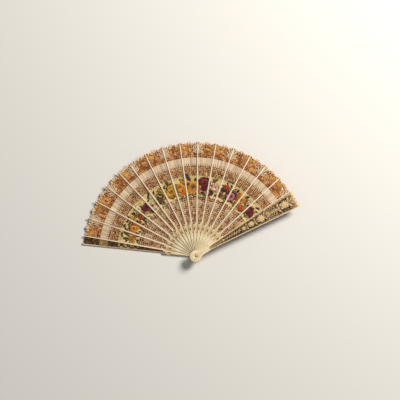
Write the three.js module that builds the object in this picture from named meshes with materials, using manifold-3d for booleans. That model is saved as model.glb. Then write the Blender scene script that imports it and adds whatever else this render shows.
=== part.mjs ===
// A folding fan with carved bone sticks and a pleated lace leaf, modelled open and
// lying flat. Millimetres, +Z up. The rivet's axis is the Z axis and its rear face
// lies at z = 0. Angles are in degrees, anticlockwise from +X, seen from above.
import * as THREE from "three";
import { mergeVertices } from "three/addons/utils/BufferGeometryUtils.js";
import Module from "manifold-3d";

const wasm = await Module();
wasm.setup();

// The spread of the fan
const FAN_RADIUS = 231; // rivet to the tips of sticks and guards
const STICK_COUNT = 16;
const FIRST_STICK_ANGLE = 170.2;
const STICK_PITCH = 9.25;
const TIGHT_GAP = 7.0; // the one gap that is drawn in
const TIGHT_GAP_AFTER = 5; // it follows this stick, counted from the rear guard
const REAR_GUARD_LAG = 0.27; // the rear guard's centreline short of the first stick
const FRONT_GUARD_LEAD = 3.63; // the front guard's centreline past the last stick

// Thicknesses and the gaps that let the pieces turn past each other
const STICK_THICKNESS = 0.7;
const GUARD_THICKNESS = 2.6;
const LEAF_THICKNESS = 0.3;
const RUNNING_GAP = 0.3;

// Rivet
const PIN_RADIUS = 1.6;
const RIVET_HEAD_RADIUS = 3.0;
const RIVET_HEAD_THICKNESS = 0.7;
const WASHER_THICKNESS = 0.4;
const STUD_RADIUS = 2.6;
const STUD_HEIGHT = 1.1;

// Inner sticks
const STICK_HEAD_RADIUS = 6.5;
const STICK_NECK_DISTANCE = 14;
const STICK_NECK_WIDTH = 7.2;
const EYE_DISTANCE = 64.8; // ring of round eyes at the top of the gorge
const EYE_RADIUS = 1.1;
const LOBE_RADIUS = 2.6; // rounded shoulder round each eye
const SLIT_SETBACK = 10.8; // ring of almond slits, below the eyes
const SLIT_LENGTH = 7;
const SLIT_WIDTH = 1.8;
const DOT_SETBACK = 18.3; // small drilled dot on each stick's centreline, below the eyes
const DOT_RADIUS = 0.8;
const RIB_ROOT_WIDTH = 3.0;
const RIB_TIP_WIDTH = 2.0;
const RIB_ROOT_STEP = 5.7; // from the eyes to where the rib proper begins
const FINIAL_RADIUS = 1.6;

// Guards
const GUARD_HEAD_RADIUS = 11.5;
const GUARD_HEAD_OFFSET = 1.5; // centre of the round head beyond the rivet
const GUARD_NECK_DISTANCE = 15;
const GUARD_NECK_WIDTH = 10.6;
const BLADE_START = 34;
const BLADE_ROOT_WIDTH = 8;
const BLADE_END_WIDTH = 36.4;
const BLADE_END_SETBACK = 6; // from the finials' tips to the foot of the end scallops
const END_SCALLOPS = 2; // on each side of the centreline
const SCALLOP_HEIGHT = 2.4;
const GUARD_FINIAL_RADIUS = 1.8;
const GUARD_FINIAL_SETBACK = 1; // from the sticks' tips
const RIM_WIDTH = 1.6;
const RECESS_DEPTH = 0.9;
const RECESS_START = 44;
const RECESS_END_SETBACK = 5; // from the foot of the end scallops
const PIERCING_START = 50;
const PIERCING_PITCH = 17;
const PIERCING_LENGTH = 12;
const PIERCING_ROOT_SHARE = 0.7; // how far out it starts, as a share of the panel's half width
const PIERCING_TIP_SHARE = 0.28;
const PIERCING_SWELL_SHARE = 0.17;
const ROSETTE_SHARE = 0.27; // radius, as a share of the panel's half width
const ROSETTE_HEIGHT = 0.8;
const ROSETTE_ROOT = 0.5; // how deep a rosette is let into the panel's floor
const HEAD_DOT_DISTANCE = 8.9;
const HEAD_DOT_ANGLE = 211.6; // from the guard's own centreline
const HEAD_DOT_RADIUS = 0.9;
const HEAD_DOT_DEPTH = 0.6;

// Leaf
const LEAF_GAP_AT_LOBES = 0.5;
const LEAF_SETBACK = 3; // from the sticks' tips to the points of the lace
const PLEAT_DEPTH = 0.6; // at the outer edge, with the leaf pulled taut
const POINTS_PER_GORE = 3;
const POINT_DEPTH = 4;
const POINT_FOOTING = 1; // plain lace between the leaf's last fold line and the notches
const GORE_STEPS = 12;
const END_PANEL_INSET = 2; // rim of the guard left bare beside the glued panel

const BORE_RADIUS = PIN_RADIUS + RUNNING_GAP;
const SEAT_RADIUS = RIVET_HEAD_RADIUS + RUNNING_GAP;
const SEAT_DEPTH = RIVET_HEAD_THICKNESS + RUNNING_GAP;
const LEVEL_STEP = STICK_THICKNESS + RUNNING_GAP;
const FIRST_LEVEL = GUARD_THICKNESS + LEAF_THICKNESS + 2 * RUNNING_GAP;
const FRONT_GUARD_LEVEL = FIRST_LEVEL + STICK_COUNT * LEVEL_STEP;
const LEAF_INNER = EYE_DISTANCE + LOBE_RADIUS + LEAF_GAP_AT_LOBES;
const LEAF_OUTER = FAN_RADIUS - LEAF_SETBACK;
const BLADE_END = FAN_RADIUS - BLADE_END_SETBACK;

const boneMaterial = new THREE.MeshStandardMaterial({ color: 0xe6d9b4, roughness: 0.42, metalness: 0 });
const laceMaterial = new THREE.MeshStandardMaterial({ color: 0xb89a6a, roughness: 0.95, metalness: 0 });
const metalMaterial = new THREE.MeshStandardMaterial({ color: 0x8d8a6e, roughness: 0.4, metalness: 0.9 });

const { degToRad } = THREE.MathUtils;

// Joining and cutting

function solidOf(geometry) {
  const bare = geometry.clone();
  bare.deleteAttribute("normal");
  bare.deleteAttribute("uv");
  const merged = mergeVertices(bare, 1e-4);
  return new wasm.Manifold(
    new wasm.Mesh({
      numProp: 3,
      vertProperties: merged.attributes.position.array,
      triVerts: new Uint32Array(merged.index.array),
    }),
  );
}

function geometryOf(solid) {
  const mesh = solid.getMesh();
  const geometry = new THREE.BufferGeometry();
  geometry.setAttribute("position", new THREE.BufferAttribute(mesh.vertProperties, 3));
  geometry.setIndex(new THREE.BufferAttribute(mesh.triVerts, 1));
  geometry.computeVertexNormals();
  return geometry;
}

// Outlines

// Points on an arc, from and to in degrees, both ends included.
function arc(x, y, radius, from, to, steps) {
  const points = [];
  for (let i = 0; i <= steps; i++) {
    const angle = degToRad(from + ((to - from) * i) / steps);
    points.push(new THREE.Vector2(x + radius * Math.cos(angle), y + radius * Math.sin(angle)));
  }
  return points;
}

function circle(x, y, radius, sides) {
  return new THREE.Path(arc(x, y, radius, 0, 360, sides).slice(1));
}

// A whole outline from its lower half, which starts and ends on the centreline.
function mirrored(half) {
  const upper = half.slice(1, -1).reverse();
  return new THREE.Shape([...half, ...upper.map((p) => new THREE.Vector2(p.x, -p.y))]);
}

function plate(shape, thickness, bottom = 0) {
  const geometry = new THREE.ExtrudeGeometry(shape, { depth: thickness, bevelEnabled: false });
  return geometry.translate(0, 0, bottom);
}

// Inner stick: a slim wedge with two pierced shoulder lobes and a long rib

function almond(x, y, length, width, turn) {
  const bulge = Math.atan2(width / 2, length / 2);
  const radius = length / 2 / Math.sin(2 * bulge);
  const drop = radius * Math.cos(2 * bulge);
  const open = THREE.MathUtils.radToDeg(2 * bulge);
  const upper = arc(0, -drop, radius, 90 - open, 90 + open, 4);
  const lower = arc(0, drop, radius, 270 - open, 270 + open, 4);
  const points = [...upper.slice(0, -1), ...lower.slice(0, -1)];
  const centre = new THREE.Vector2(x, y);
  return new THREE.Path(points.map((p) => p.rotateAround(new THREE.Vector2(), turn).add(centre)));
}

function stickShape() {
  const sideAngle = degToRad(STICK_PITCH / 2);
  const lobeX = EYE_DISTANCE * Math.cos(sideAngle);
  const lobeY = EYE_DISTANCE * Math.sin(sideAngle);
  const ribStart = EYE_DISTANCE + RIB_ROOT_STEP;
  const half = [
    ...arc(0, 0, STICK_HEAD_RADIUS, 180, 310, 6),
    new THREE.Vector2(STICK_NECK_DISTANCE, -STICK_NECK_WIDTH / 2),
    ...arc(lobeX, -lobeY, LOBE_RADIUS, -95, 75, 6),
    new THREE.Vector2(ribStart, -RIB_ROOT_WIDTH / 2),
    new THREE.Vector2(FAN_RADIUS - 2 * FINIAL_RADIUS, -RIB_TIP_WIDTH / 2),
    ...arc(FAN_RADIUS - FINIAL_RADIUS, 0, FINIAL_RADIUS, -130, 0, 4),
  ];
  const shape = mirrored(half);
  const slitDistance = EYE_DISTANCE - SLIT_SETBACK;
  const slitX = slitDistance * Math.cos(sideAngle);
  const slitY = slitDistance * Math.sin(sideAngle);
  shape.holes.push(circle(0, 0, BORE_RADIUS, 12));
  shape.holes.push(circle(EYE_DISTANCE - DOT_SETBACK, 0, DOT_RADIUS, 6));
  for (const side of [-1, 1]) {
    shape.holes.push(circle(lobeX, side * lobeY, EYE_RADIUS, 8));
    shape.holes.push(almond(slitX, side * slitY, SLIT_LENGTH, SLIT_WIDTH, side * sideAngle));
  }
  return shape;
}

// Guard: a round head, a plain handle and a flaring blade with a carved panel

function bladeHalfWidth(x) {
  const share = (x - BLADE_START) / (BLADE_END - BLADE_START);
  return (BLADE_ROOT_WIDTH + (BLADE_END_WIDTH - BLADE_ROOT_WIDTH) * share) / 2;
}

function panelHalfWidth(x) {
  return bladeHalfWidth(x) - RIM_WIDTH;
}

function scallopedEnd() {
  const finial = arc(
    FAN_RADIUS - GUARD_FINIAL_RADIUS - GUARD_FINIAL_SETBACK,
    GUARD_FINIAL_RADIUS - BLADE_END_WIDTH / 2,
    GUARD_FINIAL_RADIUS,
    -120,
    90,
    6,
  );
  const from = finial.at(-1).y;
  const points = [];
  const steps = 4 * END_SCALLOPS;
  for (let i = 1; i <= steps; i++) {
    const bulge = SCALLOP_HEIGHT * Math.abs(Math.sin((Math.PI * i) / 4));
    points.push(new THREE.Vector2(BLADE_END + bulge, from - (from * i) / steps));
  }
  return [...finial, ...points];
}

function guardShape() {
  const headEnd = 310;
  const head = arc(-GUARD_HEAD_OFFSET, 0, GUARD_HEAD_RADIUS, 180, headEnd, 10);
  const neck = new THREE.Vector2(GUARD_NECK_DISTANCE, -GUARD_NECK_WIDTH / 2);
  const pull = new THREE.Vector2((head.at(-1).x + neck.x) / 2, neck.y);
  const sweep = new THREE.QuadraticBezierCurve(head.at(-1), pull, neck);
  const half = [
    ...head,
    ...sweep.getPoints(4).slice(1),
    new THREE.Vector2(BLADE_START, -BLADE_ROOT_WIDTH / 2),
    new THREE.Vector2(BLADE_END, -BLADE_END_WIDTH / 2),
    ...scallopedEnd(),
  ];
  const shape = mirrored(half);
  shape.holes.push(circle(0, 0, BORE_RADIUS, 16));
  return shape;
}

function recessShape() {
  const end = BLADE_END - RECESS_END_SETBACK;
  const start = panelHalfWidth(RECESS_START);
  return new THREE.Shape([
    new THREE.Vector2(RECESS_START, -start),
    new THREE.Vector2(end, -panelHalfWidth(end)),
    new THREE.Vector2(end, panelHalfWidth(end)),
    new THREE.Vector2(RECESS_START, start),
  ]);
}

// A slanting leaf-shaped opening on one side of the panel.
function piercingShape(start, side) {
  const near = [];
  const far = [];
  const steps = 5;
  for (let i = 0; i <= steps; i++) {
    const t = i / steps;
    const x = start + PIERCING_LENGTH * t;
    const middle = PIERCING_ROOT_SHARE + (PIERCING_TIP_SHARE - PIERCING_ROOT_SHARE) * t;
    const swell = PIERCING_SWELL_SHARE * Math.sin(Math.PI * t);
    const width = panelHalfWidth(x) * side;
    far.push(new THREE.Vector2(x, (middle + swell) * width));
    if (i > 0 && i < steps) near.push(new THREE.Vector2(x, (middle - swell) * width));
  }
  return new THREE.Shape([...far, ...near.reverse()]);
}

function rosette(radius) {
  const profile = [
    [0, -ROSETTE_ROOT],
    [radius, -ROSETTE_ROOT],
    [radius, 0.2 * ROSETTE_HEIGHT],
    [0.7 * radius, 0.75 * ROSETTE_HEIGHT],
    [0, ROSETTE_HEIGHT],
  ];
  const points = profile.map(([x, y]) => new THREE.Vector2(x, y));
  return new THREE.LatheGeometry(points, 8).rotateX(Math.PI / 2);
}

// The guard's carved face is up, at z = GUARD_THICKNESS.
function guardGeometry() {
  const floor = GUARD_THICKNESS - RECESS_DEPTH;
  const above = 1; // how far the cutters stand clear of the faces that they cut
  const dot = degToRad(HEAD_DOT_ANGLE);
  const dotX = HEAD_DOT_DISTANCE * Math.cos(dot);
  const dotY = HEAD_DOT_DISTANCE * Math.sin(dot);
  const dotShape = new THREE.Shape(circle(dotX, dotY, HEAD_DOT_RADIUS, 8).getPoints());
  const seatShape = new THREE.Shape(circle(0, 0, SEAT_RADIUS, 16).getPoints());
  let guard = solidOf(plate(guardShape(), GUARD_THICKNESS));
  guard = guard.subtract(solidOf(plate(recessShape(), RECESS_DEPTH + above, floor)));
  guard = guard.subtract(solidOf(plate(dotShape, HEAD_DOT_DEPTH + above, GUARD_THICKNESS - HEAD_DOT_DEPTH)));
  guard = guard.subtract(solidOf(plate(seatShape, SEAT_DEPTH + above, GUARD_THICKNESS - SEAT_DEPTH)));
  const last = BLADE_END - RECESS_END_SETBACK - PIERCING_LENGTH;
  for (let x = PIERCING_START; x <= last; x += PIERCING_PITCH) {
    for (const side of [-1, 1]) {
      const cutter = plate(piercingShape(x, side), GUARD_THICKNESS + 2 * above, -above);
      guard = guard.subtract(solidOf(cutter));
    }
    const flower = rosette(ROSETTE_SHARE * panelHalfWidth(x)).translate(x, 0, floor);
    guard = guard.add(solidOf(flower));
  }
  return geometryOf(guard);
}

// Leaf: one thin pleated sheet for each gore, with pointed lace along its edge

// Both angles are functions of the radius; top gives the height of the upper face.
function leafGeometry(fromAngle, toAngle, top) {
  const rows = [LEAF_INNER, LEAF_OUTER - POINT_DEPTH - POINT_FOOTING, null];
  const positions = [];
  for (const drop of [0, LEAF_THICKNESS]) {
    for (const row of rows) {
      for (let i = 0; i <= GORE_STEPS; i++) {
        const t = i / GORE_STEPS;
        const point = Math.abs(Math.cos(Math.PI * POINTS_PER_GORE * t));
        const radius = row ?? LEAF_OUTER - (1 - point) * POINT_DEPTH;
        const angle = degToRad(fromAngle(radius) + (toAngle(radius) - fromAngle(radius)) * t);
        positions.push(radius * Math.cos(angle), radius * Math.sin(angle), top(radius, t) - drop);
      }
    }
  }
  const across = GORE_STEPS + 1;
  const under = rows.length * across;
  const faces = [];
  const quad = (a, b, c, d) => faces.push(a, c, b, a, d, c);
  for (let row = 0; row < rows.length - 1; row++) {
    for (let i = 0; i < GORE_STEPS; i++) {
      const a = row * across + i;
      quad(a, a + 1, a + 1 + across, a + across);
      quad(under + a, under + a + across, under + a + 1 + across, under + a + 1);
    }
    const first = row * across;
    const last = first + GORE_STEPS;
    quad(first, first + across, under + first + across, under + first);
    quad(last, under + last, under + last + across, last + across);
  }
  const edge = (rows.length - 1) * across;
  for (let i = 0; i < GORE_STEPS; i++) {
    quad(i, under + i, under + i + 1, i + 1);
    quad(edge + i, edge + i + 1, under + edge + i + 1, under + edge + i);
  }
  const geometry = new THREE.BufferGeometry();
  geometry.setAttribute("position", new THREE.Float32BufferAttribute(positions, 3));
  geometry.setIndex(faces);
  geometry.computeVertexNormals();
  return geometry;
}

// Half of the gap between neighbouring gores, as an angle at this radius.
function seamAngle(radius) {
  return THREE.MathUtils.radToDeg(RUNNING_GAP / 2 / radius);
}

function stickLevel(index) {
  return FIRST_LEVEL + index * LEVEL_STEP;
}

function leafTopUnder(index) {
  return stickLevel(index) - RUNNING_GAP;
}

// Runs from stick index + 1 back to stick index, so that the angle grows with t.
function goreGeometry(index, angles) {
  const from = (radius) => angles[index + 1] + seamAngle(radius);
  const to = (radius) => angles[index] - seamAngle(radius);
  return leafGeometry(from, to, (radius, t) => {
    const taut = leafTopUnder(index + 1) * (1 - t) + leafTopUnder(index) * t;
    const fold = 1 - Math.abs(2 * t - 1);
    return taut - (PLEAT_DEPTH * fold * radius) / LEAF_OUTER;
  });
}

// Angle from the guard's centreline to the edge of the panel glued to it.
function gluedEdge(radius) {
  const reach = bladeHalfWidth(Math.min(radius, BLADE_END)) - END_PANEL_INSET;
  return THREE.MathUtils.radToDeg(Math.asin(reach / radius));
}

function rearPanelGeometry(guardAngle, stickAngle) {
  const from = (radius) => stickAngle + seamAngle(radius);
  const to = (radius) => guardAngle + gluedEdge(radius);
  const top = GUARD_THICKNESS + RUNNING_GAP + LEAF_THICKNESS;
  return leafGeometry(from, to, () => top);
}

// Passes under the last rib, then rises beside it to lie against the front guard.
function frontPanelGeometry(guardAngle, stickAngle) {
  const from = (radius) => guardAngle - gluedEdge(radius);
  const to = (radius) => stickAngle - seamAngle(radius);
  const low = leafTopUnder(STICK_COUNT - 1);
  const high = FRONT_GUARD_LEVEL - RUNNING_GAP;
  const riseStarts = 0.75; // shares of the panel's width, from the guard's outer edge
  const riseEnds = 0.5;
  return leafGeometry(from, to, (radius, t) => {
    const share = THREE.MathUtils.clamp((riseStarts - t) / (riseStarts - riseEnds), 0, 1);
    return low + (high - low) * share;
  });
}

// Rivet

function lathe(profile, sides) {
  const points = profile.map(([x, y]) => new THREE.Vector2(x, y));
  return new THREE.LatheGeometry(points, sides).rotateX(Math.PI / 2);
}

function pinGeometry(top) {
  return lathe(
    [
      [0, 0],
      [RIVET_HEAD_RADIUS, 0],
      [RIVET_HEAD_RADIUS, RIVET_HEAD_THICKNESS],
      [PIN_RADIUS, RIVET_HEAD_THICKNESS],
      [PIN_RADIUS, top],
      [0, top],
    ],
    16,
  );
}

function washerGeometry(bottom) {
  const top = bottom + WASHER_THICKNESS;
  return lathe(
    [
      [BORE_RADIUS, bottom],
      [RIVET_HEAD_RADIUS, bottom],
      [RIVET_HEAD_RADIUS, top],
      [BORE_RADIUS, top],
      [BORE_RADIUS, bottom],
    ],
    16,
  );
}

function studGeometry(bottom) {
  const profile = [[0, bottom]];
  for (const share of [0, 0.25, 0.5, 0.75]) {
    const angle = (share * Math.PI) / 2;
    profile.push([STUD_RADIUS * Math.cos(angle), bottom + STUD_HEIGHT * Math.sin(angle)]);
  }
  profile.push([0, bottom + STUD_HEIGHT]);
  return lathe(profile, 16);
}

// Assembly

function stickAngles() {
  const angles = [FIRST_STICK_ANGLE];
  while (angles.length < STICK_COUNT) {
    angles.push(angles.at(-1) - (angles.length === TIGHT_GAP_AFTER ? TIGHT_GAP : STICK_PITCH));
  }
  return angles;
}

function twoDigits(number) {
  return String(number).padStart(2, "0");
}

function addPiece(group, name, geometry, material, height = 0, angle = 0) {
  const piece = new THREE.Mesh(geometry, material);
  piece.name = name;
  piece.position.z = height;
  piece.rotation.z = degToRad(angle);
  group.add(piece);
}

function buildFan() {
  const fan = new THREE.Group();
  const angles = stickAngles();
  const rearAngle = angles[0] - REAR_GUARD_LAG;
  const frontAngle = angles.at(-1) - FRONT_GUARD_LEAD;
  const guard = guardGeometry();
  const turnedOver = guard.clone().rotateX(Math.PI);
  addPiece(fan, "rear_guard", turnedOver, boneMaterial, GUARD_THICKNESS, rearAngle);
  addPiece(fan, "front_guard", guard, boneMaterial, FRONT_GUARD_LEVEL, frontAngle);
  const stick = plate(stickShape(), STICK_THICKNESS);
  angles.forEach((angle, i) => {
    addPiece(fan, `stick_${twoDigits(i + 1)}`, stick, boneMaterial, stickLevel(i), angle);
  });
  for (let i = 0; i < STICK_COUNT - 1; i++) {
    addPiece(fan, `leaf_gore_${twoDigits(i + 1)}`, goreGeometry(i, angles), laceMaterial);
  }
  addPiece(fan, "leaf_rear_panel", rearPanelGeometry(rearAngle, angles[0]), laceMaterial);
  addPiece(fan, "leaf_front_panel", frontPanelGeometry(frontAngle, angles.at(-1)), laceMaterial);
  const washerBottom = FRONT_GUARD_LEVEL + GUARD_THICKNESS - SEAT_DEPTH + RUNNING_GAP;
  const pinTop = washerBottom + WASHER_THICKNESS;
  addPiece(fan, "rivet_pin", pinGeometry(pinTop), metalMaterial);
  addPiece(fan, "rivet_washer", washerGeometry(washerBottom), metalMaterial);
  addPiece(fan, "rivet_stud", studGeometry(pinTop + RUNNING_GAP), metalMaterial);
  return fan;
}

export default buildFan();
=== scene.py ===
# A folding fan with carved bone sticks and guards and a pleated lace leaf, open and lying flat.
# Lengths are in millimetres, and MM makes them metres. Angles run anticlockwise from +X, from above.
import math
import random

import bmesh
import bpy
import numpy as np
from mathutils import Matrix, Vector


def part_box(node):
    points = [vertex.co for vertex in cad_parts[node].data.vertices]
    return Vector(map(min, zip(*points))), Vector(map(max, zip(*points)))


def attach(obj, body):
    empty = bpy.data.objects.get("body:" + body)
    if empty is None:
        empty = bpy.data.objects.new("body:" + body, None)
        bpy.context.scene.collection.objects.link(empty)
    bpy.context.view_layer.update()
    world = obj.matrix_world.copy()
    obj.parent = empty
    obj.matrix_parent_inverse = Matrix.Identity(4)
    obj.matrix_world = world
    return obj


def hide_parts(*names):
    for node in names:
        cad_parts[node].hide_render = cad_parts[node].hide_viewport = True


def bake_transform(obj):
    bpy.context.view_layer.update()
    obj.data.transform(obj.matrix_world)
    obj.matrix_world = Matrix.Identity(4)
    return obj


MM = 0.001

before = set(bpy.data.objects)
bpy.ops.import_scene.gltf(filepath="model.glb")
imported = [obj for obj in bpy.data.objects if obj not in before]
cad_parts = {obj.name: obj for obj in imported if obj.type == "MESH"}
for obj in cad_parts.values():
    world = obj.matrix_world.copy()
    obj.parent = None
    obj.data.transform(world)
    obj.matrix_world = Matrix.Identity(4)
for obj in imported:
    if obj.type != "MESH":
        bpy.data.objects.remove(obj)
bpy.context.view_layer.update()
bpy.ops.object.select_all(action="DESELECT")

# Stage
# A plain pale floor, a soft key lamp at the upper right, an even fill from all round, and
# the camera straight above the fan, at the height that shows it as large as the photograph.
CAMERA_HEIGHT = 1900 * MM
CAMERA_AIM = (7.4 * MM, 111 * MM)
FLOOR_SIDE = 8000 * MM
FLOOR_HEIGHT = -0.3 * MM
KEY_PLACE = Vector((1.68, 1.68, 1.82))  # metres
KEY_AIM = Vector((0, 0.1, 0))
KEY_SIDE = 850 * MM
KEY_WATTS = 114
FILL = 0.23


def shade(red, green, blue):
    """A colour as the eye sees it, 0 to 255, made linear for the shaders."""
    return [((c / 255 + 0.055) / 1.055) ** 2.4 if c > 10 else c / 255 / 12.92 for c in (red, green, blue)]


def paint(red, green, blue):
    """The same with full cover, as a shader's colour socket takes it."""
    return (*shade(red, green, blue), 1)


def principled(name, values):
    """A material with these values on its shader's own sockets."""
    material = bpy.data.materials.new(name)
    material.use_nodes = True
    shader = material.node_tree.nodes["Principled BSDF"]
    for socket, value in values.items():
        shader.inputs[socket].default_value = value
    return material, material.node_tree, shader


bpy.ops.mesh.primitive_plane_add(size=FLOOR_SIDE, location=(0, 0, FLOOR_HEIGHT))
floor = bpy.context.object
floor.name = "floor"
paper = {"Base Color": paint(229, 226, 220), "Roughness": 0.9}
floor.data.materials.append(principled("floor paper", paper)[0])

bpy.ops.object.light_add(type="AREA", location=KEY_PLACE)
key = bpy.context.object
key.data.size = KEY_SIDE
key.data.energy = KEY_WATTS
key.data.color = (1.0, 0.97, 0.93)
key.rotation_euler = (KEY_AIM - KEY_PLACE).to_track_quat("-Z", "Y").to_euler()

sky = bpy.data.worlds.new("studio")
sky.use_nodes = True
sky.node_tree.nodes["Background"].inputs["Color"].default_value = (1, 0.99, 0.97, 1)
sky.node_tree.nodes["Background"].inputs["Strength"].default_value = FILL
bpy.context.scene.world = sky

bpy.ops.object.camera_add(location=(*CAMERA_AIM, CAMERA_HEIGHT), rotation=(0, 0, 0))
camera = bpy.context.object
camera.data.lens = 85
camera.data.sensor_width = 36
bpy.context.scene.camera = camera
bpy.context.scene.view_settings.view_transform = "Standard"


# Inner sticks
# Each is one slip of bone: a round head, a broad gorge part with two rounded shoulders, and
# a slim rib that ends in a knob. It is pierced with slits, and with eyes that hold dark
# discs of painted shade. All sixteen are cut to one pattern.
FAN_RADIUS = 231
STICK_THICKNESS = 0.7
STICK_PITCH = 9.25
STICK_HEAD = 6.5
BORE = 1.9
NECK_AT, NECK_WIDTH = 14, 7.2
EYE_AT, EYE_RADIUS, LOBE_RADIUS = 64.8, 1.55, 2.8
GORGE_END_HALF_WIDTH = 5.2
SLIT_AT, SLIT_LENGTH, SLIT_WIDTH = 54, 7.5, 2.0
DOT_AT, DOT_RADIUS = 46.5, 0.8
RIB_FROM, RIB_ROOT_WIDTH, RIB_TIP_WIDTH = 70.5, 3.2, 1.9
KNOB_RADIUS = 1.6
ROUNDING = 0.16
RIDGE_AT, RIDGE_ACROSS, RIDGE_RADIUS, RIDGE_SUNK = (17, 30, 43, 60), 0.45, 0.26, 0.08
RING_GAP, RING_RADIUS, RING_SUNK = 0.5, 0.2, 0.03
SPINE_RADIUS, SPINE_SUNK = 0.45, 0.41
# The dark discs in the eyes are painted shade, where the eyes would show the shade below
EYE_SHADE_THICKNESS, EYE_SHADE_ROUNDING, EYE_SHADE_OVERLAP = 0.45, 0.05, 0.04
STICK_SHARP_FROM = 40


def spot(radius, angle):
    """The place at this distance from the origin, in this direction in degrees."""
    turn = math.radians(angle)
    return radius * math.cos(turn), radius * math.sin(turn)


def arc(x, y, radius, start, stop, steps):
    """Points along an arc, angles in degrees, both ends included."""
    return [(x + a, y + b) for a, b in (spot(radius, turn) for turn in np.linspace(start, stop, steps + 1))]


def circle(x, y, radius, corners):
    """A circle as an outline with this many corners."""
    return arc(x, y, radius, 0, 360 - 360 / corners, corners - 1)


def almond(x, y, length, width, turn):
    """A pointed slit, turned by an angle in degrees."""
    c, s = spot(1, turn)
    points = []
    for side in (1, -1):
        for i in range(7):
            along = (i / 7 - 0.5) * length * side
            across = width / 2 * math.sin(math.pi * i / 7) * side
            points.append((x + along * c - across * s, y + along * s + across * c))
    return points


def whole(half):
    """A closed outline from its lower half, which starts and ends on the centreline."""
    return half + [(x, -y) for x, y in reversed(half[1:-1])]


def put(name, data):
    """A new object in the scene for a mesh or a curve."""
    piece = bpy.data.objects.new(name, data)
    bpy.context.scene.collection.objects.link(piece)
    return piece


def select(pieces):
    """Selects these pieces only, with the first one active."""
    bpy.ops.object.select_all(action="DESELECT")
    for piece in pieces:
        piece.select_set(True)
    bpy.context.view_layer.objects.active = pieces[0]


def joined(name, pieces):
    select(pieces)
    bpy.ops.object.join()
    pieces[0].name = name
    return pieces[0]


def smoothed(piece, sharp_from):
    """Shades a piece smooth, apart from edges sharper than this angle in degrees."""
    for face in piece.data.polygons:
        face.use_smooth = True
    piece.data.set_sharp_from_angle(angle=math.radians(sharp_from))


def traced(name, dimensions, lines, height=0.0, cyclic=True):
    """A curve that runs through lines of points at this height."""
    curve = bpy.data.curves.new(name, "CURVE")
    curve.dimensions = dimensions
    curve.bevel_resolution = 1
    for line in lines:
        spline = curve.splines.new("POLY")
        spline.points.add(len(line) - 1)
        for point, (x, y) in zip(spline.points, line):
            point.co = (x * MM, y * MM, height * MM, 1)
        spline.use_cyclic_u = cyclic
    return curve


def as_mesh(name, curve):
    """A curve's shape as the mesh of a new object."""
    select([put(name, curve)])
    bpy.ops.object.convert(target="MESH")
    return bpy.context.object


def sawn_plate(name, outline, holes, thickness, rounding, bottom=0.0):
    """A flat plate with rounded edges and cut-outs."""
    curve = traced(name, "2D", [outline, *holes])
    curve.fill_mode = "BOTH"
    curve.extrude = (thickness / 2 - rounding) * MM
    curve.bevel_depth = rounding * MM
    curve.offset = -rounding * MM
    plate = as_mesh(name, curve)
    plate.data.transform(Matrix.Translation((0, 0, (bottom + thickness / 2) * MM)))
    bpy.ops.object.mode_set(mode="EDIT")
    bpy.ops.mesh.select_all(action="SELECT")
    bpy.ops.mesh.remove_doubles(threshold=0.001 * MM)
    bpy.ops.mesh.normals_make_consistent(inside=False)
    bpy.ops.object.mode_set(mode="OBJECT")
    plate.data.materials.clear()
    return plate


def raised_line(points, radius, height, cyclic=False):
    """A fine rounded ridge that runs through points at this height."""
    curve = traced("ridge", "3D", [points], height, cyclic)
    curve.bevel_depth = radius * MM
    curve.use_fill_caps = True
    return as_mesh("ridge", curve)


def gorge_half_width(x):
    """Half the width of a stick's broad part."""
    return NECK_WIDTH / 2 + (x - NECK_AT) / (EYE_AT - NECK_AT) * (GORGE_END_HALF_WIDTH - NECK_WIDTH / 2)


def map_grain(piece, half_width):
    """UVs along the bone: u is the distance from the rivet, v runs from -1 to 1 across."""
    grain = piece.data.uv_layers.new(name="grain")
    for loop in piece.data.loops:
        x, y, _ = piece.data.vertices[loop.vertex_index].co
        grain.data[loop.index].uv = (x, y / (half_width(x / MM) * MM))


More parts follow.
